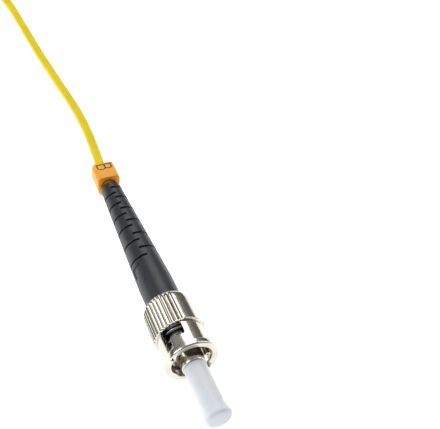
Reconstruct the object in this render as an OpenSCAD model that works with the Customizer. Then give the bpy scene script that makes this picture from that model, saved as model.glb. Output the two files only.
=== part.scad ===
// ST bayonet fibre connector on a 2.0 mm simplex lead, with its dust cap,
// its marker clip and the second connector at the lead's other end.
// Each connector is built along its own +Z, tip upwards, with z = 0 at the
// rear face of the bayonet nut, and is then laid down on its side.

/* [Bayonet nut] */
// Outer diameter of the front ring
ring_d = 9.6; // [9.5:0.1:9.8]
// Diameter of the knurled grip at its front edge
grip_d = 9.3; // [9.2:0.1:9.4]
// Diameter of the plain band between the grip and the ring
band_d = 8.4; // [8.3:0.1:8.5]
// Length of the knurled grip
grip_len = 6.9; // [6.7:0.1:7.1]
// Length over all of the nut
nut_len = 12.5; // [12.4:0.1:12.8]
// Bore of the nut
nut_bore = 7.2; // [7.1:0.1:7.2]
// Angle between neighbouring grip flutes
flute_pitch = 8.7; // [8.5:0.1:8.8]
// Depth of each grip flute
flute_depth = 0.17; // [0.1:0.01:0.22]

/* [Connector body] */
// Diameter of the front boss that carries the ferrule
boss_d = 4.4; // [4.2:0.1:4.6]
// Diameter of the shoulder that the spring pushes on
shoulder_d = 6.9; // [6.8:0.1:6.95]
// Diameter of the ferrule
ferrule_d = 2.5; // [2.49:0.001:2.5]
// Distance from the nut's rear face to the ferrule's tip
ferrule_tip = 20.7; // [20:0.1:21]

/* [Boot] */
// Length of the boot that shows behind the nut
boot_len = 32.1; // [31.5:0.1:33]
// Diameter of the boot at its rear end
boot_rear_d = 3.9; // [3.7:0.1:4.2]
// Diameter of the boot's front part
boot_front_d = 6.4; // [6.2:0.1:6.5]
// Axial width of each bend-relief slit
slit_w = 0.4; // [0.3:0.05:0.5]

/* [Dust cap] */
// Outer diameter of the cap's tube
cap_d = 4.04; // [3.9:0.01:4.1]
// Outer diameter of the cap's rounded head
cap_head_d = 4.9; // [4.6:0.1:5.2]
// Distance from the nut's rear face to the cap's tip
cap_tip = 24.5; // [24:0.1:25]

/* [Lead] */
// Diameter of the lead's jacket
lead_d = 2; // [1.8:0.1:2]
// Length of the straight runs of the hank that the lead is folded into
hank_run = 27.7; // [27.5:0.1:27.9]

/* [Hidden] */
$fn = 64;

// height of each connector's axis above the surface: the front ring rests on it
axis_h = ring_d / 2;
// where the near connector's z = 0 lies along Y
near_y = -3.8;
// where the far connector's z = 0 lies, and the lead's line into it
far_x = -2.1;
far_y = 163.5 + 15.2 + hank_run;

// key stations along a connector
lip_rear = 3.6;
lip_front = 4.8;
washer_t = 0.4;
shoulder_rear = 10;
shoulder_front = 10.9;
boss_front = 13.6;
jacket_end = -6.8;
boot_front = 2.6;

// the slits start at one side or the other of the boot, in turn
slit_side = [-97.5, 82.5];
slits_a = [-10.5, -14.7, -18.7, -22.2, -25.5, -28.6];
slits_b = [-12.6, -16.5, -20.3, -23.9, -27.3, -30.3];

// the lead's route from inside the near boot to the start of the coil
near_route = [[0, 3, 4.8], [0, 20, 4.8], [0, 30, 4.8], [0, 34, 4.8], [0.3, 38, 4.7], [0.8, 44, 4.2], [1.1, 50, 3.7],
  [1.1, 56, 3.2], [0.8, 62, 2.7], [0.4, 68, 2.2], [0, 74, 1.8], [-0.4, 80, 1.4], [-0.9, 88, 1.1], [-1.4, 96, 1],
  [-1.9, 103, 1], [-2.6, 108.5, 1], [-3.7, 113.5, 1], [-4.85, 118, 1], [-5.5, 121.6, 1]];
// the hank: runs two wide and four deep, wound clockwise as seen from above, and the last run on top
hank_x = 2.6;
hank_near = 121.6;
hank_far = hank_near + hank_run;
hank_in = 6.1;
hank_out = 8.1;
hank_h = 4 * lead_d;
// the lead's route over the top of the hank and into the far boot
tail_route = concat(
  [for (k = [0:8]) [hank_x + hank_out * cos(-22.5 * k), hank_near + hank_out * sin(-22.5 * k), hank_h + 1]],
  [for (v = [[0, 0, 9], [0.15, 3, 9], [0.7, 6, 8.5], [1.5, 9, 7.35], [2.35, 12, 6.2], [3, 15, 5.3]]) [hank_x - hank_out, hank_far, 0] + v],
  [[far_x, hank_far + 18, 4.87], [far_x, hank_far + 20, 4.8], [far_x, hank_far + 25, 4.8], [far_x, hank_far + 50.3, 4.8]]);

// a tube of eight sides swept along a list of points
function unit(v) = v / norm(v);
function heading(p, i) = unit(p[min(i + 1, len(p) - 1)] - p[max(i - 1, 0)]);
function ring_at(p, i, r) = let (d = heading(p, i), s = unit(cross(d, [0, 0, 1])), u = cross(s, d))
  [for (k = [0:7]) p[i] + r * (cos(45 * k) * s + sin(45 * k) * u)];
module swept(p, r) {
  n = len(p);
  polyhedron(
    points = [for (i = [0:n - 1]) each ring_at(p, i, r)],
    faces = concat(
      [[for (k = [7:-1:0]) k]],
      [for (i = [0:n - 2], k = [0:7]) [8 * i + k, 8 * i + (k + 1) % 8, 8 * (i + 1) + (k + 1) % 8, 8 * (i + 1) + k]],
      [[for (k = [0:7]) 8 * (n - 1) + k]]));
}

// turns a clock angle, from up towards +X as seen from the tip, to a rotation
module at_clock(a) { rotate([0, 0, 90 - a]) children(); }
// lays a connector on its side: the near one with its tip to -Y, the far one to +Y
module near() { translate([0, near_y, axis_h]) rotate([90, 0, 0]) children(); }
module far() { translate([far_x, far_y, axis_h]) rotate([0, 0, 180]) rotate([90, 0, 0]) children(); }

module dust_cap_part() {
  r = cap_d / 2;
  h = cap_head_d / 2;
  color([0.86, 0.87, 0.88, 0.85]) rotate_extrude()
    polygon([[ferrule_d / 2 + 0.06, boss_front + 0.05], [r, boss_front + 0.05], [r, cap_tip - 2.5], [h - 0.12, cap_tip - 1.4],
      [h, cap_tip - 0.9], [h - 0.12, cap_tip - 0.4], [h - 0.5, cap_tip - 0.08], [h - 0.9, cap_tip], [0, cap_tip],
      [0, cap_tip - 2.6], [0.9, cap_tip - 2.6], [ferrule_d / 2 + 0.06, cap_tip - 3]]);
}

module ferrule_part() {
  r = ferrule_d / 2;
  color([0.93, 0.92, 0.88]) rotate_extrude()
    polygon([[0.52, 8], [r, 8], [r, ferrule_tip - 0.4], [r - 0.3, ferrule_tip], [0.07, ferrule_tip], [0.07, 9.4], [0.52, 8.9]]);
}

module connector_body_part() {
  color([0.76, 0.74, 0.69]) difference() {
    rotate_extrude() polygon([[0.6, -4.6], [1.7, -4.6], [1.7, 2.2], [2.45, 2.2], [2.45, 2.9], [2.1, 2.9], [2.1, 3.5],
      [2.45, 3.5], [2.45, shoulder_rear], [shoulder_d / 2, shoulder_rear], [shoulder_d / 2, shoulder_front - 0.15],
      [shoulder_d / 2 - 0.15, shoulder_front], [boss_d / 2, shoulder_front], [boss_d / 2, boss_front - 0.25],
      [boss_d / 2 - 0.25, boss_front], [ferrule_d / 2, boss_front], [ferrule_d / 2, 8], [0.6, 8]]);
    // hole for the key pin
    at_clock(75) translate([2.85, 0, 10.2]) cylinder(r = 0.48, h = 1, $fn = 32);
  }
}

module key_pin_part() {
  color([0.8, 0.78, 0.74]) at_clock(75) translate([2.85, 0, 0]) difference() {
    union() {
      translate([0, 0, 10.2]) cylinder(r = 0.48, h = 2.1, $fn = 32);
      translate([0, 0, 12.3]) cylinder(r1 = 0.48, r2 = 0.38, h = 0.1, $fn = 32);
    }
    translate([0, 0, 12.25]) cylinder(r = 0.2, h = 0.3, $fn = 32);
  }
}

// a block of the wall between two clock angles and two heights
module wall_sector(from, to, z0, z1) { rotate([0, 0, 90 - to]) rotate_extrude(angle = to - from) translate([3.3, z0]) square([1, z1 - z0]); }
// one bayonet slot: the straight lug entry, the cross run and the detent
module bayonet_slot() {
  wall_sector(-64, -43, grip_len - 0.06, nut_len + 0.5);
  wall_sector(-60, -4, grip_len - 0.06, grip_len + 1.8);
  wall_sector(-26, -4, grip_len + 1.5, grip_len + 2.4);
}
// outline of the knurled grip: a round with flutes on each side between the plain lands
module grip_outline() {
  g = grip_d / 2;
  difference() {
    circle(r = g, $fn = 96);
    circle(r = 4, $fn = 96);
    for (side = [0, 180], k = [0:13])
      rotate(90 - side + flute_pitch * k) translate([g + 0.36 - flute_depth, 0]) circle(r = 0.36, $fn = 20);
  }
}

module coupling_nut_part() {
  g = grip_d / 2;
  b = band_d / 2;
  f = ring_d / 2;
  i = nut_bore / 2;
  color([0.74, 0.72, 0.67]) difference() {
    union() {
      rotate_extrude($fn = 96) polygon([[3.5, 0], [g - 0.5, 0], [g - 0.3, 0.3], [g - 0.3, grip_len - 0.25], [b, grip_len - 0.25],
        [b, nut_len - 1.2], [f - 0.12, nut_len - 1.2], [f, nut_len - 1.05], [f, nut_len - 0.35],
        [f - 0.25, nut_len], [i + 0.35, nut_len], [i, nut_len - 0.35], [i, lip_front], [2.65, lip_front], [2.65, lip_rear],
        [3.5, lip_rear]]);
      translate([0, 0, 0.45]) linear_extrude(height = grip_len - 0.45) grip_outline();
    }
    for (side = [0, 180]) rotate([0, 0, side]) bayonet_slot();
  }
}

// a closed-end compression spring: flat end rings and stacked coils between them
module coupling_spring_part() {
  z0 = lip_front + washer_t;
  h = shoulder_rear - z0;
  color([0.7, 0.7, 0.7]) {
    for (k = [0:4]) translate([0, 0, z0 + 0.25 + k * (h - 0.5) / 4]) rotate_extrude() translate([3.02, 0]) circle(r = 0.25, $fn = 16);
    for (k = [0:3]) rotate([0, 0, 90 * k]) translate([3.02, 0, z0 + 0.25 + k * (h - 0.5) / 4]) cylinder(r = 0.2, h = (h - 0.5) / 4, $fn = 16);
  }
}

module spring_washer_part() {
  color([0.78, 0.77, 0.74]) translate([0, 0, lip_front + 0.01]) difference() {
    cylinder(r = 3.5, h = washer_t - 0.02);
    translate([0, 0, -1]) cylinder(r = 2.55, h = 3);
  }
}

module retaining_ring_part() {
  color([0.6, 0.6, 0.6]) translate([0, 0, 2.95]) difference() {
    cylinder(r = 3.2, h = 0.5);
    translate([0, 0, -1]) cylinder(r = 2.15, h = 3);
    at_clock(0) translate([0, -0.7, -1]) cube([5, 1.4, 3]);
  }
}

module crimp_sleeve_part() {
  color([0.78, 0.76, 0.72]) rotate_extrude()
    polygon([[2.05, 2], [2.45, 2], [2.45, -5.4], [1.45, -6.7], [1.45, -11], [1.02, -11], [1.02, -6.75], [2.05, -5.2]]);
}

module aramid_yarn_part() {
  color([0.86, 0.72, 0.3]) rotate_extrude()
    polygon([[1.72, 1.6], [2.03, 1.6], [2.03, -5.1], [1.05, -6.6], [0.5, -6.6], [0.5, -6.2], [1.72, -4.75]]);
}

module buffered_fibre_part() {
  color([0.95, 0.95, 0.92]) union() {
    translate([0, 0, jacket_end]) cylinder(r = 0.45, h = 8.6 - jacket_end, $fn = 32);
    cylinder(r = 0.0625, h = ferrule_tip, $fn = 16);
  }
}

module boot_part() {
  f = boot_front_d / 2;
  b = boot_rear_d / 2;
  color([0.12, 0.13, 0.15]) difference() {
    rotate_extrude() polygon([[1.05, -boot_len], [b - 0.2, -boot_len], [b, -boot_len + 0.2], [f, -5.4], [f, boot_front],
      [2.5, boot_front], [2.5, -5.6], [1.5, -6.9], [1.5, -11.3], [1.05, -11.8]]);
    for (z = slits_a) at_clock(slit_side[0]) translate([-0.45, -4, z - slit_w / 2]) cube([5, 8, slit_w]);
    for (z = slits_b) at_clock(slit_side[1]) translate([-0.45, -4, z - slit_w / 2]) cube([5, 8, slit_w]);
    // shallow bare recess on the plain part
    at_clock(-61) translate([f - 0.3, -1.2, -9.3]) cube([1, 2.4, 2.3]);
  }
}

// the clip that marks the position: flat top, upright sides, V bottom with a mouth
module marker_clip_part() {
  color([0.94, 0.72, 0.2]) translate([0, 0, -boot_len - 5.4]) difference() {
    linear_extrude(height = 4.5) polygon([[-1.7, 2.3], [1.7, 2.3], [2.2, 1.7], [2.3, 0.6], [2.2, -1.2], [1.7, -2.4], [1, -2.85],
      [-1, -2.85], [-1.7, -2.4], [-2.2, -1.2], [-2.3, 0.6], [-2.2, 1.7]]);
    translate([0, 0, -1]) cylinder(r = 1.05, h = 7);
    translate([0, 0, 3.1]) cylinder(r = 1.55, h = 3);
    translate([-0.5, -4, -1]) cube([1, 3.6, 7]);
  }
}

module cord_part() { color([0.87, 0.8, 0.12]) swept(near_route, lead_d / 2); }
module cord_tail_part() { color([0.87, 0.8, 0.12]) swept(tail_route, lead_d / 2); }
module stadium(r, h) {
  translate([0, hank_near, 0]) cylinder(r = r, h = h);
  translate([0, hank_far, 0]) cylinder(r = r, h = h);
  translate([-r, hank_near, 0]) cube([2 * r, hank_run, h]);
}
module cord_coil_part() {
  color([0.87, 0.8, 0.12]) translate([hank_x, 0, 0]) difference() {
    stadium(hank_out + 1, hank_h);
    translate([0, 0, -1]) stadium(hank_in - 1.1, hank_h + 2);
    // the place where the lead slips under the second row
    translate([0, hank_near, -1]) rotate([0, 0, 180]) rotate_extrude(angle = 90) translate([hank_out - 1, 0]) square([3, 3.02]);
    // the shoulder that the last run passes over
    translate([0, hank_far, 0]) rotate([0, 0, 90]) rotate_extrude(angle = 90) polygon([[7.9, 8.1], [9.3, 6.7], [9.3, 8.1]]);
  }
}
module coil_tie_part() {
  color([0.15, 0.15, 0.16]) translate([hank_x, (hank_near + hank_far) / 2 + 1.5, 0]) rotate([90, 0, 0]) difference() {
    linear_extrude(height = 3) polygon([[-9.5, 0], [-4.7, 0], [-4.7, 8.6], [-6.6, 10.5], [-9.5, 10.5]]);
    translate([0, 0, -1]) linear_extrude(height = 5) polygon([[-9, 0.6], [-5.2, 0.6], [-5.2, 8.1], [-6.9, 9.9], [-9, 9.9]]);
  }
}

near() dust_cap_part();  // dust_cap
near() ferrule_part();  // ferrule
near() connector_body_part();  // connector_body
near() key_pin_part();  // key_pin
near() coupling_nut_part();  // coupling_nut
near() coupling_spring_part();  // coupling_spring
near() spring_washer_part();  // spring_washer
near() retaining_ring_part();  // retaining_ring
near() crimp_sleeve_part();  // crimp_sleeve
near() aramid_yarn_part();  // aramid_yarn
near() buffered_fibre_part();  // buffered_fibre
near() boot_part();  // boot
near() marker_clip_part();  // marker_clip
cord_part();  // cord
cord_coil_part();  // cord_coil
cord_tail_part();  // cord_tail
coil_tie_part();  // coil_tie
far() dust_cap_part();  // far_dust_cap
far() ferrule_part();  // far_ferrule
far() connector_body_part();  // far_connector_body
far() key_pin_part();  // far_key_pin
far() coupling_nut_part();  // far_coupling_nut
far() coupling_spring_part();  // far_coupling_spring
far() spring_washer_part();  // far_spring_washer
far() retaining_ring_part();  // far_retaining_ring
far() crimp_sleeve_part();  // far_crimp_sleeve
far() aramid_yarn_part();  // far_aramid_yarn
far() buffered_fibre_part();  // far_buffered_fibre
far() boot_part();  // far_boot
far() marker_clip_part();  // far_marker_clip
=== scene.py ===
import bpy, bmesh, math
import numpy as np
from mathutils import Vector, Matrix
from mathutils.geometry import delaunay_2d_cdt


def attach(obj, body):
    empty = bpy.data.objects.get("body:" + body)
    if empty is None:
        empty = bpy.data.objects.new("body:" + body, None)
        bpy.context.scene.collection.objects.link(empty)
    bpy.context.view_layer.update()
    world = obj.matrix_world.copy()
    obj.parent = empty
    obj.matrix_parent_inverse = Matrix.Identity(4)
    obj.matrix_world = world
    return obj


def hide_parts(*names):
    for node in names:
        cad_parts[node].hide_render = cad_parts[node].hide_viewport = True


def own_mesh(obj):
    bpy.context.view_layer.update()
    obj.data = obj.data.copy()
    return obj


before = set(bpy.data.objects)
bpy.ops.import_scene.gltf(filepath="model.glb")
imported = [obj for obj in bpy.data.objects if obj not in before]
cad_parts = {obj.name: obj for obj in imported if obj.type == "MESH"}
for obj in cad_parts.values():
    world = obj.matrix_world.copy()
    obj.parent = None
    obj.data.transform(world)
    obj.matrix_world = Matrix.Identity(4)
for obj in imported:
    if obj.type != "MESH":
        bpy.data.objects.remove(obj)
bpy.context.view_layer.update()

MM = 0.001
scene = bpy.context.scene

# ------------------------------------------------------------------ camera
CAM_POS = (-39.16, -96.22, 124.70)
CAM_RIGHT = Vector((0.9196, -0.3840, 0.0826))
CAM_UP = Vector((0.2131, 0.6644, 0.7164))
CAM_F = 887.4  # focal length in units of the picture's 440 columns

cam_data = bpy.data.cameras.new("camera")
cam_data.sensor_fit = "HORIZONTAL"
cam_data.sensor_width = 36.0
cam_data.lens = 36.0 * CAM_F / 440.0
cam_data.clip_start = 0.005
cam_data.clip_end = 10.0
cam = bpy.data.objects.new("camera", cam_data)
scene.collection.objects.link(cam)
cr = CAM_RIGHT.normalized()
cb = cr.cross(CAM_UP).normalized()
cu = cb.cross(cr).normalized()
m = Matrix((cr, cu, cb)).transposed().to_4x4()
m.translation = Vector(CAM_POS) * MM
cam.matrix_world = m
scene.camera = cam

# ------------------------------------------------------------------ places
NEAR_Y, FAR_X, FAR_Y, AXIS_H = -3.8, -2.1, 206.4, 4.8


def near(p):
    return (p[0] * MM, (NEAR_Y - p[2]) * MM, (p[1] + AXIS_H) * MM)


def far(p):
    return ((FAR_X - p[0]) * MM, (FAR_Y + p[2]) * MM, (p[1] + AXIS_H) * MM)


# ------------------------------------------------------------------ materials
def new_mat(name):
    mt = bpy.data.materials.new(name)
    mt.use_nodes = True
    nt = mt.node_tree
    for n in list(nt.nodes):
        nt.nodes.remove(n)
    out = nt.nodes.new("ShaderNodeOutputMaterial")
    bs = nt.nodes.new("ShaderNodeBsdfPrincipled")
    nt.links.new(bs.outputs["BSDF"], out.inputs["Surface"])
    return mt, nt, bs


def coords(nt, scale):
    tc = nt.nodes.new("ShaderNodeTexCoord")
    mp = nt.nodes.new("ShaderNodeMapping")
    mp.inputs["Scale"].default_value = scale
    nt.links.new(tc.outputs["Object"], mp.inputs["Vector"])
    return mp.outputs["Vector"]


def noise(nt, vec, scale, detail=3.0, rough=0.5):
    n = nt.nodes.new("ShaderNodeTexNoise")
    n.inputs["Scale"].default_value = scale
    n.inputs["Detail"].default_value = detail
    n.inputs["Roughness"].default_value = rough
    nt.links.new(vec, n.inputs["Vector"])
    return n.outputs["Fac"]


def ramp(nt, fac, stops):
    r = nt.nodes.new("ShaderNodeValToRGB")
    els = r.color_ramp.elements
    while len(els) < len(stops):
        els.new(0.5)
    for e, (pos, col) in zip(els, stops):
        e.position = pos
        e.color = (*col, 1.0) if len(col) == 3 else col
    nt.links.new(fac, r.inputs["Fac"])
    return r.outputs["Color"]


def span(nt, fac, lo, hi):
    r = nt.nodes.new("ShaderNodeMapRange")
    r.inputs["From Min"].default_value = 0.25
    r.inputs["From Max"].default_value = 0.75
    r.inputs["To Min"].default_value = lo
    r.inputs["To Max"].default_value = hi
    nt.links.new(fac, r.inputs["Value"])
    return r.outputs["Result"]


def bump(nt, bs, height, strength, dist):
    b = nt.nodes.new("ShaderNodeBump")
    b.inputs["Strength"].default_value = strength
    b.inputs["Distance"].default_value = dist
    nt.links.new(height, b.inputs["Height"])
    nt.links.new(b.outputs["Normal"], bs.inputs["Normal"])


def srgb(r, g, b):
    def f(v):
        v /= 255.0
        return v / 12.92 if v <= 0.04045 else ((v + 0.055) / 1.055) ** 2.4
    return (f(r), f(g), f(b))


def metal(name, light, dark, rough=(0.16, 0.26), grain=(1, 1, 1), bump_d=0.000004):
    mt, nt, bs = new_mat(name)
    v = coords(nt, (1, 1, 1))
    big = noise(nt, v, 260.0, 3.0)
    col = ramp(nt, big, [(0.3, dark), (0.7, light)])
    nt.links.new(col, bs.inputs["Base Color"])
    bs.inputs["Metallic"].default_value = 1.0
    g = coords(nt, grain)
    fine = noise(nt, g, 1800.0, 4.0, 0.6)
    nt.links.new(span(nt, fine, rough[0], rough[1]), bs.inputs["Roughness"])
    bump(nt, bs, fine, 0.35, bump_d)
    return mt


def plastic(name, light, dark, rough=(0.35, 0.5), scale=420.0, bump_s=0.25, bump_d=0.00001, spec=0.5, fine_scale=3000.0):
    mt, nt, bs = new_mat(name)
    v = coords(nt, (1, 1, 1))
    big = noise(nt, v, scale, 3.0)
    nt.links.new(ramp(nt, big, [(0.3, dark), (0.7, light)]), bs.inputs["Base Color"])
    fine = noise(nt, v, fine_scale, 4.0, 0.6)
    nt.links.new(span(nt, fine, rough[0], rough[1]), bs.inputs["Roughness"])
    bs.inputs["Specular IOR Level"].default_value = spec
    bump(nt, bs, fine, bump_s, bump_d)
    return mt, nt, bs


NICKEL = metal("nickel_plate", (0.66, 0.625, 0.55), (0.55, 0.52, 0.455), (0.15, 0.24), (1, 1, 1))
# painted shade: a darker nickel colour for the nut's bore and the band's inner wall
NICKEL_SHADED_BORE = metal("nickel_painted_shade", (0.36, 0.34, 0.29), (0.26, 0.245, 0.21), (0.25, 0.4))
STEEL = metal("spring_steel", (0.50, 0.50, 0.49), (0.38, 0.38, 0.37), (0.22, 0.36), (1, 1, 1))
BOOT, nt_, bs_ = plastic("boot_rubber", (0.020, 0.0225, 0.027), (0.013, 0.015, 0.018), (0.34, 0.5), 300.0, 0.3, 0.00002, 0.5)
MARK, nt_, bs_ = plastic("marker_plastic", srgb(240, 172, 44), srgb(232, 156, 30), (0.38, 0.52), 350.0, 0.25, 0.00001, 0.45)
bs_.inputs["Subsurface Weight"].default_value = 0.25
bs_.inputs["Subsurface Radius"].default_value = (1.0, 0.45, 0.12)
bs_.inputs["Subsurface Scale"].default_value = 0.0012
INK, nt_, bs_ = plastic("letter_ink", (0.045, 0.022, 0.008), (0.03, 0.014, 0.006), (0.5, 0.65), 900.0, 0.2, 0.000005, 0.3)
JACKET, nt_, bs_ = plastic("jacket_yellow", srgb(228, 206, 8), srgb(220, 194, 4), (0.36, 0.5), 240.0, 0.25, 0.000012, 0.45)
bs_.inputs["Subsurface Weight"].default_value = 0.15
bs_.inputs["Subsurface Radius"].default_value = (1.0, 0.8, 0.1)
bs_.inputs["Subsurface Scale"].default_value = 0.0008
CAP, nt_, bs_ = plastic("cap_polythene", (0.70, 0.73, 0.765), (0.66, 0.69, 0.725), (0.3, 0.42), 500.0, 0.25, 0.00001, 0.4)
bs_.inputs["Subsurface Weight"].default_value = 0.6
bs_.inputs["Subsurface Radius"].default_value = (1.0, 1.0, 1.05)
bs_.inputs["Subsurface Scale"].default_value = 0.0015
ZIRC, nt_, bs_ = plastic("zirconia", (0.86, 0.85, 0.80), (0.82, 0.81, 0.76), (0.1, 0.18), 600.0, 0.1, 0.000003, 0.6)
YARN, nt_, bs_ = plastic("aramid_yarn", (0.78, 0.58, 0.17), (0.62, 0.44, 0.1), (0.55, 0.7), 2500.0, 0.6, 0.00004, 0.3)
BUFFER, nt_, bs_ = plastic("fibre_buffer", (0.85, 0.85, 0.82), (0.78, 0.78, 0.75), (0.3, 0.4), 500.0, 0.15, 0.000006, 0.5)
TIE, nt_, bs_ = plastic("tie_band", (0.022, 0.022, 0.024), (0.014, 0.014, 0.015), (0.55, 0.75), 1500.0, 0.7, 0.00005, 0.3)


# ------------------------------------------------------------------ mesh helpers
def build(name, verts, faces, mats, to=near, mat_index=None, sharp=38.0, merge=0.002, weighted=True):
    """One piece from points in a connector's own millimetres."""
    me = bpy.data.meshes.new(name)
    me.from_pydata([to(v) for v in verts], [], faces)
    for mt in mats:
        me.materials.append(mt)
    if mat_index is not None:
        for p, i in zip(me.polygons, mat_index):
            p.material_index = i
    bm = bmesh.new()
    bm.from_mesh(me)
    bmesh.ops.remove_doubles(bm, verts=bm.verts, dist=merge * MM)
    bmesh.ops.dissolve_degenerate(bm, edges=bm.edges, dist=0.0005 * MM)
    bmesh.ops.recalc_face_normals(bm, faces=bm.faces)
    for f in bm.faces:
        f.smooth = True
    lim = math.radians(sharp)
    for e in bm.edges:
        if len(e.link_faces) == 2 and e.calc_face_angle(0.0) > lim:
            e.smooth = False
    bm.to_mesh(me)
    bm.free()
    ob = bpy.data.objects.new(name, me)
    scene.collection.objects.link(ob)
    if weighted:
        w = ob.modifiers.new("weighted", "WEIGHTED_NORMAL")
        w.keep_sharp = True
        w.weight = 80
    return ob


def fillet(points, steps=4):
    """Rounds the corners of a closed outline given as (x, y, radius)."""
    out = []
    n = len(points)
    for i, (x, y, r) in enumerate(points):
        p = np.array((x, y), float)
        a = np.array(points[i - 1][:2], float) - p
        b = np.array(points[(i + 1) % n][:2], float) - p
        la, lb = np.linalg.norm(a), np.linalg.norm(b)
        if r <= 0 or la < 1e-9 or lb < 1e-9:
            out.append(tuple(p))
            continue
        a, b = a / la, b / lb
        ang = math.acos(max(-1, min(1, float(a @ b))))
        if ang > math.pi - 1e-3:
            out.append(tuple(p))
            continue
        t = min(r / math.tan(ang / 2), 0.48 * la, 0.48 * lb)
        rr = t * math.tan(ang / 2)
        c = p + (a + b) / np.linalg.norm(a + b) * rr / math.sin(ang / 2)
        s, e = p + a * t - c, p + b * t - c
        a0 = math.atan2(s[1], s[0])
        da = (math.atan2(e[1], e[0]) - a0 + math.pi) % (2 * math.pi) - math.pi
        for k in range(steps + 1):
            q = a0 + da * k / steps
            out.append((c[0] + rr * math.cos(q), c[1] + rr * math.sin(q)))
    return out


def around(loop_at, clock, closed=True):
    """Sweeps a loop of (r, z), a function of the clock angle, round the axis."""
    verts, faces = [], []
    n = None
    for a in clock:
        lp = loop_at(a)
        n = len(lp)
        s, c = math.sin(math.radians(a)), math.cos(math.radians(a))
        verts += [(r * s, r * c, z) for r, z in lp]
    k = len(clock)
    for i in range(k):
        j = (i + 1) % k
        for q in range(n if closed else n - 1):
            w = (q + 1) % n
            f = (i * n + q, i * n + w, j * n + w, j * n + q)
            faces.append(f)
    return verts, faces


def lathe(outline, seg=96, closed=True):
    return around(lambda a: outline, [360.0 * i / seg for i in range(seg)], closed)


def join(parts):
    verts, faces, index = [], [], []
    for v, f, mi in parts:
        o = len(verts)
        verts += v
        faces += [tuple(i + o for i in q) for q in f]
        index += [mi] * len(f)
    return verts, faces, index


def smooth(x):
    x = min(max(x, 0.0), 1.0)
    return x * x * (3 - 2 * x)


# ------------------------------------------------------------------ cords
near_route = [(0, 3, 4.8), (0, 20, 4.8), (0, 30, 4.8), (0, 34, 4.8), (0.3, 38, 4.7), (0.8, 44, 4.2), (1.1, 50, 3.7),
              (1.1, 56, 3.2), (0.8, 62, 2.7), (0.4, 68, 2.2), (0, 74, 1.8), (-0.4, 80, 1.4), (-0.9, 88, 1.1), (-1.4, 96, 1),
              (-1.9, 103, 1), (-2.6, 108.5, 1), (-3.7, 113.5, 1), (-4.85, 118, 1)]
LEAD_D, RUN, HX, HNEAR, RIN, ROUT, ROWS = 2.0, 27.7, 2.6, 121.6, 6.1, 8.1, 4
HFAR = HNEAR + RUN
tail_route = [(HX - ROUT + x, HFAR + y, z) for x, y, z in ((0, 0, 9), (0.15, 3, 9), (0.7, 6, 8.5), (1.5, 9, 7.35), (2.35, 12, 6.2), (3, 15, 5.3))]
tail_route += [(FAR_X, HFAR + 18, 4.87), (FAR_X, HFAR + 20, 4.8), (FAR_X, HFAR + 25, 4.8), (FAR_X, HFAR + 50.3, 4.8)]


def hank_points():
    """Long turns two wide and four deep, clockwise from above, and a last run on top."""
    slots = []
    for row in range(5):
        slots += [(c, 1.0 + LEAD_D * row) for c in ((ROUT, RIN) if row % 2 == 0 else (RIN, ROUT))]
    slots = slots[:9]
    pts = []
    for t, (r, z) in enumerate(slots):
        pts += [(HX - r, HNEAR + RUN * k / 4, z) for k in range(4)]
        if t == 8:
            break
        pts += [(HX - r * math.cos(math.pi * k / 8), HFAR + r * math.sin(math.pi * k / 8), z) for k in range(8)]
        r2, z2 = slots[t + 1]
        for k in range(6):
            b = smooth(k / 6)
            side = -0.6 if z2 == z else (-1.5 if r == RIN else 0.1)
            pts.append((HX + r + (r2 - r) * b + side * math.sin(math.pi * b), HFAR - RUN * k / 6, z + (z2 - z) * b))
        pts += [(HX + r2 * math.cos(math.pi * k / 8), HNEAR - r2 * math.sin(math.pi * k / 8), z2) for k in range(8)]
    return pts


def cord_curve(name, pts, dia, mat):
    cu_ = bpy.data.curves.new(name, "CURVE")
    cu_.dimensions = "3D"
    cu_.resolution_u = 5
    cu_.bevel_depth = dia / 2 * MM
    cu_.bevel_resolution = 5
    cu_.use_fill_caps = True
    sp = cu_.splines.new("BEZIER")
    sp.bezier_points.add(len(pts) - 1)
    P = [Vector(p) for p in pts]
    for i, b in enumerate(sp.bezier_points):
        back = P[i] - P[i - 1] if i else P[1] - P[0]
        on = P[i + 1] - P[i] if i + 1 < len(P) else back
        t = (back / back.length ** 1 + on / on.length).normalized()
        b.handle_left_type = b.handle_right_type = "FREE"
        b.co = P[i] * MM
        b.handle_left = (P[i] - t * back.length / 3) * MM
        b.handle_right = (P[i] + t * on.length / 3) * MM
    cu_.materials.append(mat)
    ob = bpy.data.objects.new(name, cu_)
    scene.collection.objects.link(ob)
    return ob


lead_pts = near_route + hank_points() + tail_route
lead = cord_curve("lead_jacket", lead_pts, LEAD_D, JACKET)
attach(lead, "root")
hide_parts("cord", "cord_coil", "cord_tail")


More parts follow.
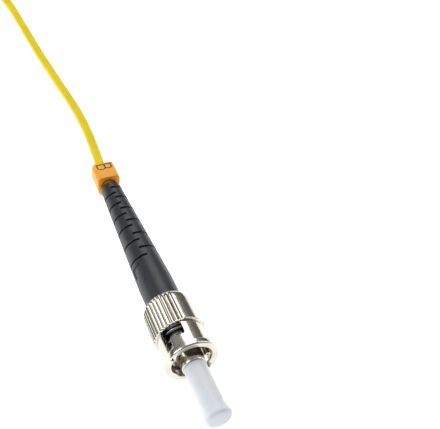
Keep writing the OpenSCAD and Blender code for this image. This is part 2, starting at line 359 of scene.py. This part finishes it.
# ------------------------------------------------------------------ coil tie
def tie_piece():
    outer = fillet([(-9.5, 0.02, 0.7), (-4.7, 0.02, 0.7), (-4.7, 8.6, 0.8), (-6.6, 10.5, 0.8), (-9.5, 10.5, 0.8)], 6)
    inner = fillet([(-9.05, 0.5, 0.6), (-5.15, 0.5, 0.6), (-5.15, 8.2, 0.7), (-6.9, 10.0, 0.7), (-9.05, 10.0, 0.7)], 6)
    verts, faces = [], []
    rows = [(-1.5, 0.12), (-1.42, 0.03), (-1.3, 0.0), (-0.6, 0.0), (0.0, 0.0), (0.6, 0.0), (1.3, 0.0), (1.42, 0.03), (1.5, 0.12)]
    n = len(outer)
    mid = np.array((-7.1, 5.2))

    def moved(p, d):
        v = np.array(p) - mid
        q = mid + v * (1 - d / np.linalg.norm(v))
        return (HX + q[0], max(q[1], 0.02))
    for sign, line in ((1, outer), (-1, inner)):
        for y, ins in rows[::sign]:
            for p in line:
                q = moved(p, ins * (1 if sign > 0 else -0.5))
                verts.append((q[0], (HNEAR + HFAR) / 2 + y, q[1]))
    k = 2 * len(rows)
    for i in range(k):
        j = (i + 1) % k
        for q in range(n):
            r = (q + 1) % n
            faces.append((i * n + q, i * n + r, j * n + r, j * n + q))
    ob = build("tie_loop", verts, faces, [TIE], to=lambda p: (p[0] * MM, p[1] * MM, p[2] * MM))
    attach(ob, "root")
    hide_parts("coil_tie")
    return ob


tie = tie_piece()

# ------------------------------------------------------------------ connector pieces
PITCH, FLUTE_D, FLUTE_R = 8.7, 0.19, 0.36
GRIP_LEN, NUT_LEN, G, B, F, BORE = 6.9, 12.5, 4.65, 4.2, 4.8, 3.6


def flute_depth(a):
    """Depth of the grip's flutes at a clock angle."""
    best = 0.0
    for side in (0.0, 180.0):
        rel = (side - a) % 360.0
        k = round(rel / PITCH)
        if 0 <= k <= 13 or rel > 360 - PITCH:
            k = 0 if rel > 360 - PITCH else k
            d = rel - k * PITCH if rel <= 360 - PITCH else rel - 360
            x = abs(math.radians(d)) * G
            half = 0.33
            if x < half:
                best = max(best, FLUTE_D * (1 - (x / half) ** 2) ** 0.9)
    return best


def grip_clock():
    a = set()
    for i in range(480):
        a.add(round(i * 0.75, 3))
    return sorted(a)


def nut_grip():
    def loop(a):
        d = flute_depth(a)
        out = [(3.5, 0.0), (3.56, 0.0)]
        # rear face, rounded shoulder, tapered grip, front edge
        out += [(3.62, 0.0), (4.02, 0.0), (4.10, 0.02)]
        for t, z in ((0.52, 0.05), (0.36, 0.15), (0.22, 0.3), (0.12, 0.48), (0.05, 0.68), (0.0, 0.9)):
            r0 = G - 0.12 - t
            out.append((r0 - d * (1 - smooth(t / 0.5)), z))
        for z in (1.8, 3.0, 4.2, 5.4, 6.3, 6.62):
            out.append((G - 0.12 + 0.12 * (z - 0.9) / 6.0 - d, z))
        out += [(G - 0.012 - d * 0.98, 6.72), (G - 0.045 - d * 0.92, 6.81), (G - 0.10 - d * 0.85, 6.87), (G - 0.17 - d * 0.75, 6.9)]
        out += [(4.15, 6.9), (3.7, 6.9), (3.6, 6.88), (3.6, 6.8), (3.6, 4.8), (2.7, 4.8), (2.65, 4.75), (2.65, 3.65), (2.7, 3.6), (3.5, 3.6), (3.5, 0.1)]
        return out
    return around(loop, grip_clock())


def nut_ring():
    lo, hi = -64.0, -43.0

    def rin(a):
        for side in (0.0, 180.0):
            x = (a - side + 180) % 360 - 180
            if lo < x < hi:
                e = min(x - lo, hi - x)
                return 3.6 + 0.68 * smooth(e / 1.2)
        return 3.6

    def loop(a):
        r = rin(a)
        base = fillet([(r, 11.3, 0), (F, 11.3, 0.14), (F, NUT_LEN, 0.3), (r + 0.16, NUT_LEN, 0.1), (r, NUT_LEN - 0.2, 0.1)], 4)
        return base
    clock = []
    for side in (0.0, 180.0):
        for a in (lo, hi):
            for e in (-0.3, 0, 0.3, 0.6, 0.9, 1.2, 1.6):
                s = 1 if a == lo else -1
                clock.append((side + a + s * e) % 360)
    clock += [(i * 2.5) % 360 for i in range(144)]
    clock = sorted(set(round(c, 3) for c in clock))
    keep = [clock[0]]
    for c in clock[1:]:
        if c - keep[-1] > 0.15:
            keep.append(c)
    return around(loop, keep)


def slot_outline():
    """Corners of a bayonet slot in (clock angle as arc length at the band, z)."""
    k = math.radians(1) * B
    pts = [(-64 * k, 11.36, 0), (-64 * k, 6.86, 0.35), (-4 * k, 6.86, 0.25), (-4 * k, 9.28, 0.42), (-25.5 * k, 9.28, 0.3),
           (-28 * k, 8.72, 0.3), (-43 * k, 8.72, 0.55), (-43 * k, 11.36, 0)]
    rounded = []
    n = len(pts)
    full = fillet(pts[:1] + pts[1:-1] + pts[-1:], 7)
    # resample between corners so that the edge strip is even
    out = [np.array(full[0])]
    for p in full[1:]:
        p = np.array(p)
        d = np.linalg.norm(p - out[-1])
        steps = max(1, int(d / 0.12))
        a0 = out[-1]
        for s in range(1, steps + 1):
            out.append(a0 + (p - a0) * s / steps)
    return np.array(out)


def offset_line(line, d):
    """Moves an open outline to its outer side by d, keeping its two ends on their height."""
    t = np.gradient(line, axis=0)
    t /= np.maximum(np.linalg.norm(t, axis=1), 1e-9)[:, None]
    nrm = np.stack([-t[:, 1], t[:, 0]], 1)
    # the slot lies to the left or right of the run: choose the side away from its middle
    area = 0.5 * np.sum(line[:, 0] * np.roll(line[:, 1], -1) - np.roll(line[:, 0], -1) * line[:, 1])
    s = -1.0 if area > 0 else 1.0
    o = line + nrm * d * s
    o[0, 1], o[-1, 1] = line[0, 1], line[-1, 1]
    return o


def inside(poly, pts):
    x, y = pts[:, 0], pts[:, 1]
    c = np.zeros(len(pts), bool)
    j = len(poly) - 1
    for i in range(len(poly)):
        xi, yi, xj, yj = poly[i][0], poly[i][1], poly[j][0], poly[j][1]
        hit = ((yi > y) != (yj > y)) & (x < (xj - xi) * (y - yi) / (yj - yi + 1e-15) + xi)
        c ^= hit
        j = i
    return c


def near_line(pts, line, d):
    out = np.zeros(len(pts), bool)
    for i in range(0, len(pts), 400):
        q = pts[i:i + 400]
        dist = np.linalg.norm(q[:, None] - line[None], axis=2).min(1)
        out[i:i + 400] = dist < d
    return out


def nut_band():
    k = math.radians(1) * B
    base = slot_outline()
    turn = 360 * k
    u0, u1 = 30 * k - turn, 30 * k
    z0, z1 = 6.8, 11.36
    parts = []
    levels = [(4.2, 0.085), (4.192, 0.045), (4.172, 0.02), (4.14, 0.004), (4.1, 0.0), (3.7, 0.0), (3.63, 0.02), (3.6, 0.06)]

    def to3(p, r):
        a = p[0] / B
        return (r * math.sin(a), r * math.cos(a), p[1])

    def sheet(off, r, flip):
        line = offset_line(base, off)
        second = line - np.array([turn / 2, 0])
        outline = [np.array((u0, z1))]
        zs = np.linspace(z1, z0, 22)
        outline = [np.array((u0, z)) for z in zs]
        us = np.linspace(u0, u1, 130)
        outline += [np.array((u, z0)) for u in us[1:-1]]
        outline += [np.array((u1, z)) for z in zs[::-1]]

        def top(a, b):
            n = max(2, int(abs(a - b) / 0.2))
            return [np.array((u, z1)) for u in np.linspace(a, b, n)[1:-1]]
        outline += top(u1, line[-1][0])
        outline += list(line[::-1])
        outline += top(line[0][0], second[-1][0])
        outline += list(second[::-1])
        outline += top(second[0][0], u0)
        poly = np.array(outline)
        gu, gz = np.meshgrid(np.arange(u0 + 0.2, u1 - 0.1, 0.2), np.arange(z0 + 0.18, z1 - 0.1, 0.19))
        grid = np.stack([gu.ravel(), gz.ravel()], 1)
        ok = inside(poly, grid) & ~near_line(grid, line, 0.12) & ~near_line(grid, second, 0.12)
        grid = grid[ok]
        pts = [Vector(p) for p in poly] + [Vector(p) for p in grid]
        n = len(poly)
        edges = [(i, (i + 1) % n) for i in range(n)]
        v, e, f, *_ = delaunay_2d_cdt(pts, edges, [], 0, 1e-5)
        vv = np.array([(q.x, q.y) for q in v])
        tri = [t for t in f]
        cen = np.array([vv[list(t)].mean(0) for t in tri])
        keep = inside(poly, cen)
        verts = [to3(p, r) for p in vv]
        faces = [tuple(t[::-1]) if flip else tuple(t) for t, kk in zip(tri, keep) if kk]
        return verts, faces
    v, f = sheet(levels[0][1], levels[0][0], False)
    parts.append((v, f, 0))
    # the band's inner wall takes the darker nickel, painted shade
    v, f = sheet(levels[-1][1], levels[-1][0], True)
    parts.append((v, f, 1))
    for shift in (0.0, turn / 2):
        rows = []
        for r, off in levels:
            line = offset_line(base, off) - np.array([shift, 0])
            rows.append([to3(p, r) for p in line])
        verts, faces = [], []
        n = len(base)
        for row in rows:
            verts += row
        for i in range(len(rows) - 1):
            for q in range(n - 1):
                faces.append((i * n + q, i * n + q + 1, (i + 1) * n + q + 1, (i + 1) * n + q))
        parts.append((verts, faces, 0))
    return parts


def nut_piece(side, to, body, node):
    gv, gf = nut_grip()
    rv, rf = nut_ring()
    gi = []
    n_loop = len(gv) // len(grip_clock())
    parts = [(gv, gf, 0), (rv, rf, 0)] + nut_band()
    v, f, mi = join(parts)
    # the inside of the grip takes the darker nickel, painted shade in the bore
    inner_from = n_loop - 9
    for q in range(len(gf)):
        if q % n_loop >= inner_from:
            mi[q] = 1
    ob = build(side + "nut_shell", v, f, [NICKEL, NICKEL_SHADED_BORE], to, mi, sharp=34.0)
    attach(ob, body)
    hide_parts(node)
    return ob


def boot_piece(side, to, node):
    f_r, b_r, ln = 3.2, 1.95, 32.1
    slits_a = [-10.5, -14.7, -18.7, -22.2, -25.5, -28.6]
    slits_b = [-12.6, -16.5, -20.3, -23.9, -27.3, -30.3]
    w = 0.2

    def radius(z):
        if z >= -5.4:
            return f_r
        t = (z + ln) / (ln - 5.4)
        return b_r + (f_r - b_r) * t
    zs = [(-ln, 0.22, None), (-ln + 0.03, 0.12, None), (-ln + 0.09, 0.04, None), (-ln + 0.2, 0.0, None)]
    for z in np.arange(-31.7, 2.3, 0.45):
        zs.append((float(z), 0.0, None))
    for i, grp in ((0, slits_a), (1, slits_b)):
        for z in grp:
            for dz, dep in ((-w - 0.09, 0.0), (-w - 0.035, 0.012), (-w, 0.06), (-w + 0.012, 1.0), (0.0, 1.0), (w - 0.012, 1.0), (w, 0.06), (w + 0.035, 0.012), (w + 0.09, 0.0)):
                zs.append((z + dz, dep, i))
    for z in (-9.3, -9.24, -9.18, -7.12, -7.06, -7.0):
        zs.append((z, 0.0, None))
    zs += [(2.3, 0.0, None), (2.45, 0.03, None), (2.55, 0.1, None), (2.6, 0.2, None)]
    zs.sort(key=lambda q: q[0])
    clean = []
    for q in zs:
        if q[2] is None and any(abs(q[0] - s) < w + 0.12 for s in slits_a + slits_b):
            continue
        if clean and abs(q[0] - clean[-1][0]) < 0.004:
            continue
        clean.append(q)
    centre = (-97.5, 82.5)

    def loop(a):
        out = []
        for z, dep, fam in clean:
            R = radius(z)
            if fam is None:
                d = dep
                x = (a + 61 + 180) % 360 - 180
                if -9.27 < z < -7.03:
                    d += 0.16 * smooth((22 - abs(x)) / 1.6)
            else:
                x = abs((a - centre[fam] + 180) % 360 - 180)
                win = smooth((98.6 - x) / 1.2)
                full = min(1.5, R - 1.22)
                d = win * (dep * full if dep >= 1.0 else dep)
            out.append((R - d, z))
        out += [(2.5, 2.6), (2.5, -5.6), (1.5, -6.9), (1.5, -11.3), (1.05, -11.8), (1.05, -ln)]
        return out
    clock = set(round(i * 2.5, 3) for i in range(144))
    for c in centre:
        for s in (-1, 1):
            for e in (96.6, 97.4, 98.0, 98.6, 99.0):
                clock.add(round((c + s * e) % 360, 3))
    for e in (-23, -22, -21.2, -20.4, 20.4, 21.2, 22, 23):
        clock.add(round((-61 + e) % 360, 3))
    clock = sorted(clock)
    v, f = around(loop, clock)
    ob = build(side + "boot_sleeve", v, f, [BOOT], to, sharp=50.0, merge=0.0005)
    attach(ob, "root")
    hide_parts(node)
    return ob


def cap_piece(side, to, body, node):
    r, h, tip, z0 = 2.02, 2.45, 24.5, 13.65
    outline = fillet([(1.33, z0, 0.04), (r, z0, 0.12), (r, tip - 2.45, 0.5), (h - 0.10, tip - 1.25, 0.3), (h, tip - 0.85, 0.25),
                      (h - 0.06, tip - 0.45, 0.3), (h - 0.42, tip - 0.08, 0.35), (1.2, tip, 0.4), (0.0, tip, 0),
                      (0.0, tip - 2.6, 0), (0.9, tip - 2.6, 0.2), (1.33, tip - 3.0, 0.1)], 5)
    v, f = lathe(outline, 96)
    ob = build(side + "dust_cover", v, f, [CAP], to, sharp=60.0)
    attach(ob, body)
    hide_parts(node)
    return ob


def body_piece(side, to, node, key_node):
    pts = [(0.6, -4.6, 0), (1.7, -4.6, 0.1), (1.7, 2.2, 0), (2.45, 2.2, 0.1), (2.45, 2.9, 0.05), (2.1, 2.9, 0), (2.1, 3.5, 0),
           (2.45, 3.5, 0.05), (2.45, 10, 0), (3.45, 10, 0.12), (3.45, 10.9, 0.15), (2.2, 10.9, 0.12), (2.2, 13.6, 0.2),
           (1.27, 13.6, 0.05), (1.27, 8, 0), (0.6, 8, 0)]
    v, f = lathe(fillet(pts, 4), 96)
    ob = build(side + "body_turning", v, f, [NICKEL], to)
    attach(ob, "root")
    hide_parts(node)
    # key pin with a dimpled end
    pin = fillet([(0.0, 10.2, 0), (0.48, 10.2, 0), (0.48, 12.4, 0.1), (0.24, 12.4, 0.04), (0.12, 12.2, 0.05), (0.0, 12.18, 0)], 4)
    v, f = lathe(pin, 40)
    s, c = math.sin(math.radians(75)), math.cos(math.radians(75))
    v = [(x + 2.85 * s, y + 2.85 * c, z) for x, y, z in v]
    kp = build(side + "key_stud", v, f, [NICKEL], to)
    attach(kp, "root")
    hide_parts(key_node)
    return ob, kp


def spring_piece(side, to, anchor_y, node):
    z0, z1 = 5.2, 10.0
    wire, R, turns = 0.25, 3.02, 4.6
    n = int(turns * 40)
    verts, faces = [], []
    m_ = 10
    for i in range(n + 1):
        t = i / n
        th = 2 * math.pi * turns * t
        # closed ends, open middle
        z = z0 + wire + (z1 - z0 - 2 * wire) * smooth((t - 0.1) / 0.8)
        c = np.array((R * math.sin(th), R * math.cos(th), z))
        rad = np.array((math.sin(th), math.cos(th), 0.0))
        for k in range(m_):
            q = 2 * math.pi * k / m_
            verts.append(tuple(c + wire * (math.cos(q) * rad + math.sin(q) * np.array((0, 0, 1.0)))))
    for i in range(n):
        for k in range(m_):
            faces.append((i * m_ + k, i * m_ + (k + 1) % m_, (i + 1) * m_ + (k + 1) % m_, (i + 1) * m_ + k))
    faces.append(tuple(range(m_ - 1, -1, -1)))
    faces.append(tuple(n * m_ + k for k in range(m_)))
    ob = build(side + "spring_helix", verts, faces, [STEEL], to, weighted=False)
    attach(ob, "root")
    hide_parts(node)
    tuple(to((0, 0, 10.0)))
    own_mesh(ob)
    return ob


def stroke(points, width, lift, closed=False):
    """A flat inked stroke along points (x, z) on the clip's top."""
    pts = [np.array(p, float) for p in points]
    n = len(pts)
    verts, faces = [], []
    for i in range(n):
        a = pts[i - 1] if (i > 0 or closed) else pts[i]
        b = pts[(i + 1) % n] if (i < n - 1 or closed) else pts[i]
        t = b - a
        t /= max(np.linalg.norm(t), 1e-9)
        nr = np.array((-t[1], t[0])) * width / 2
        for s, y in ((1, lift - 0.03), (0.85, lift), (-0.85, lift), (-1, lift - 0.03)):
            q = pts[i] + nr * s
            verts.append((q[0], y, q[1]))
    for i in range(n if closed else n - 1):
        j = (i + 1) % n
        for k in range(3):
            faces.append((i * 4 + k, i * 4 + k + 1, j * 4 + k + 1, j * 4 + k))
    return verts, faces, 1


def arc(cx, cz, rx, rz, a0, a1, n=14):
    return [(cx + rx * math.cos(math.radians(a0 + (a1 - a0) * i / n)), cz + rz * math.sin(math.radians(a0 + (a1 - a0) * i / n))) for i in range(n + 1)]


def clip_piece(side, to, node, letter):
    z_rear = -32.1 - 5.4
    top, ln = 2.3, 4.5
    outer = fillet([(-1.75, top, 0.35), (1.75, top, 0.35), (2.25, 1.7, 0.5), (2.3, 0.6, 0.6), (2.2, -1.2, 0.6), (1.75, -2.35, 0.5),
                    (1.0, -2.85, 0.3), (0.5, -2.85, 0.05)], 4)
    # closed C outline: outer run clockwise from the mouth's left lip to its right lip, then the bore
    left = fillet([(-0.5, -2.85, 0.05), (-1.0, -2.85, 0.3), (-1.75, -2.35, 0.5), (-2.2, -1.2, 0.6), (-2.3, 0.6, 0.6), (-2.25, 1.7, 0.5),
                   (-1.75, top, 0.35), (1.75, top, 0.35), (2.25, 1.7, 0.5), (2.3, 0.6, 0.6), (2.2, -1.2, 0.6), (1.75, -2.35, 0.5),
                   (1.0, -2.85, 0.3), (0.5, -2.85, 0.05), (0.5, -1.5, 0), (-0.5, -1.5, 0)], 4)
    cut = [i for i, p in enumerate(left) if abs(p[1] + 1.5) < 1e-6]
    run = [p for i, p in enumerate(left) if i not in cut]

    def bore(r, n=40):
        a0 = math.asin(0.5 / r)
        return [(r * math.sin(t), -r * math.cos(t)) for t in np.linspace(a0, 2 * math.pi - a0, n)]
    stations = [(0.0, 1.05, 0.12), (0.04, 1.05, 0.04), (0.12, 1.05, 0.0), (1.5, 1.05, 0.0), (3.1, 1.05, 0.0), (3.12, 1.5, 0.0),
                (4.38, 1.55, 0.0), (4.46, 1.57, 0.04), (4.5, 1.62, 0.12)]
    verts, faces = [], []
    n = None
    for z, r, ins in stations:
        ring_ = []
        for p in run:
            v = np.array(p)
            L = np.linalg.norm(v)
            ring_.append(tuple(v * (L - ins) / L))
        ring_ += bore(r)
        n = len(ring_)
        verts += [(x, y, z_rear + z) for x, y in ring_]
    k = len(stations)
    for i in range(k - 1):
        for q in range(n):
            w = (q + 1) % n
            faces.append((i * n + q, i * n + w, (i + 1) * n + w, (i + 1) * n + q))
    # end faces: strips between the outer run and the bore
    for i, rev in ((0, False), (k - 1, True)):
        a, b = len(run), n - len(run)
        ia = ib = 0
        while ia < a - 1 or ib < b - 1:
            ta, tb = ia / (a - 1), ib / (b - 1)
            A, Bq = i * n + ia, i * n + n - 1 - ib
            if ib >= b - 1 or (ia < a - 1 and ta <= tb):
                f = (A, A + 1, Bq)
                ia += 1
            else:
                f = (A, Bq - 1, Bq)
                ib += 1
            faces.append(f[::-1] if rev else f)
    body = (verts, faces, 0)
    z = z_rear
    W = 0.24
    lift = top + 0.012
    marks = []
    if letter == "B":
        # spine across the far end, two bowls towards the boot
        x0, xm, x1 = -1.42, 0.12, 1.42
        sp, bl, br = z + 0.62, z + 2.0, z + 1.85
        big = [(x0, sp), (x0 + 0.02, bl - 0.55)] + arc(x0 + 0.62, bl - 0.5, 0.6, 0.5, 180, 90, 7)[1:] + [(xm - 0.55, bl)] + arc(xm - 0.5, bl - 0.45, 0.5, 0.45, 90, 0, 7)[1:] + [(xm, sp)]
        small = [(xm, sp), (xm, br - 0.45)] + arc(xm + 0.4, br - 0.42, 0.4, 0.42, 180, 90, 6)[1:] + [(x1 - 0.45, br)] + arc(x1 - 0.42, br - 0.42, 0.42, 0.42, 90, 0, 6)[1:] + [(x1, sp)]
        marks += [stroke([(x0 - 0.1, sp), (0, sp), (x1 + 0.1, sp)], W, lift), stroke(big, W, lift), stroke(small, W, lift)]
    else:
        a, b = z + 0.62, z + 2.05
        mid = (a + b) / 2
        marks += [stroke([(-1.42, a), (1.42, mid)], W, lift), stroke([(-1.42, b), (1.42, mid)], W, lift), stroke([(-0.5, a + 0.22), (-0.5, b - 0.22)], W, lift)]
    v, f, mi = join([body] + marks)
    ob = build(side + "marker", v, f, [MARK, INK], to, mi, sharp=40.0, merge=0.0004)
    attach(ob, "root")
    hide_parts(node)
    return ob


def connector(side, to, pre, letter, anchor_y):
    made = {}
    made["nut"] = nut_piece(side, to, pre + "nut", pre + "coupling_nut")
    made["boot"] = boot_piece(side, to, pre + "boot")
    made["cap"] = cap_piece(side, to, pre + "cap", pre + "dust_cap")
    made["body"], made["key"] = body_piece(side, to, pre + "connector_body", pre + "key_pin")
    made["spring"] = spring_piece(side, to, anchor_y, pre + "coupling_spring")
    made["clip"] = clip_piece(side, to, pre + "marker_clip", letter)
    return made


a_end = connector("", near, "", "B", NEAR_Y - 10.0)
b_end = connector("far_", far, "far_", "A", FAR_Y + 10.0)

# ------------------------------------------------------------------ carried-over CAD nodes
for pre in ("", "far_"):
    for n, mt in (("ferrule", ZIRC), ("spring_washer", STEEL), ("retaining_ring", STEEL), ("crimp_sleeve", NICKEL),
                  ("aramid_yarn", YARN), ("buffered_fibre", BUFFER)):
        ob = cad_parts[pre + n]
        ob.data.materials.clear()
        ob.data.materials.append(mt)

# ------------------------------------------------------------------ floor, lights
fm, fnt, fb = new_mat("studio_floor")
fb.inputs["Base Color"].default_value = (0.9, 0.9, 0.9, 1)
fb.inputs["Roughness"].default_value = 0.9
fb.inputs["Specular IOR Level"].default_value = 0.1
fb.inputs["Emission Color"].default_value = (1, 1, 1, 1)
fb.inputs["Emission Strength"].default_value = 0.8
bpy.ops.mesh.primitive_plane_add(size=6.0, location=(0, 0, 0))
floor = bpy.context.object
floor.name = "studio_floor"
floor.data.materials.append(fm)


def area(name, pos, target, size, power, color=(1, 1, 1), size_y=None):
    ld = bpy.data.lights.new(name, "AREA")
    ld.shape = "RECTANGLE" if size_y else "SQUARE"
    ld.size = size
    if size_y:
        ld.size_y = size_y
    ld.energy = power
    ld.color = color
    ob = bpy.data.objects.new(name, ld)
    scene.collection.objects.link(ob)
    ob.location = pos
    d = Vector(target) - Vector(pos)
    ob.rotation_euler = d.to_track_quat("-Z", "Y").to_euler()
    return ob


T = (0, 0.02, 0.005)
area("key_left", (-0.55, 0.05, 0.45), T, 0.45, 2.6, (0.95, 0.98, 1.0))
area("top_back", (0.15, 0.55, 0.75), T, 0.6, 3.0, (1.0, 0.99, 0.97))
area("right_strip", (0.6, 0.1, 0.35), T, 0.12, 1.6, (1.0, 0.98, 0.94), 0.7)

world = bpy.data.worlds.new("studio")
scene.world = world
world.use_nodes = True
wn = world.node_tree
for n in list(wn.nodes):
    wn.nodes.remove(n)
wo = wn.nodes.new("ShaderNodeOutputWorld")
bg = wn.nodes.new("ShaderNodeBackground")
tc = wn.nodes.new("ShaderNodeTexCoord")
sep = wn.nodes.new("ShaderNodeSeparateXYZ")
wn.links.new(tc.outputs["Generated"], sep.inputs["Vector"])
rp = wn.nodes.new("ShaderNodeValToRGB")
els = rp.color_ramp.elements
els[0].position, els[0].color = 0.0, (0.25, 0.25, 0.25, 1)
els[1].position, els[1].color = 1.0, (0.9, 0.91, 0.93, 1)
e = els.new(0.25)
e.color = (0.22, 0.22, 0.22, 1)
e = els.new(0.6)
e.color = (0.7, 0.7, 0.7, 1)
wn.links.new(sep.outputs["Z"], rp.inputs["Fac"])
wn.links.new(rp.outputs["Color"], bg.inputs["Color"])
bg.inputs["Strength"].default_value = 0.42
wn.links.new(bg.outputs["Background"], wo.inputs["Surface"])

scene.view_settings.view_transform = "Standard"
scene.view_settings.look = "None"

bpy.context.view_layer.update()
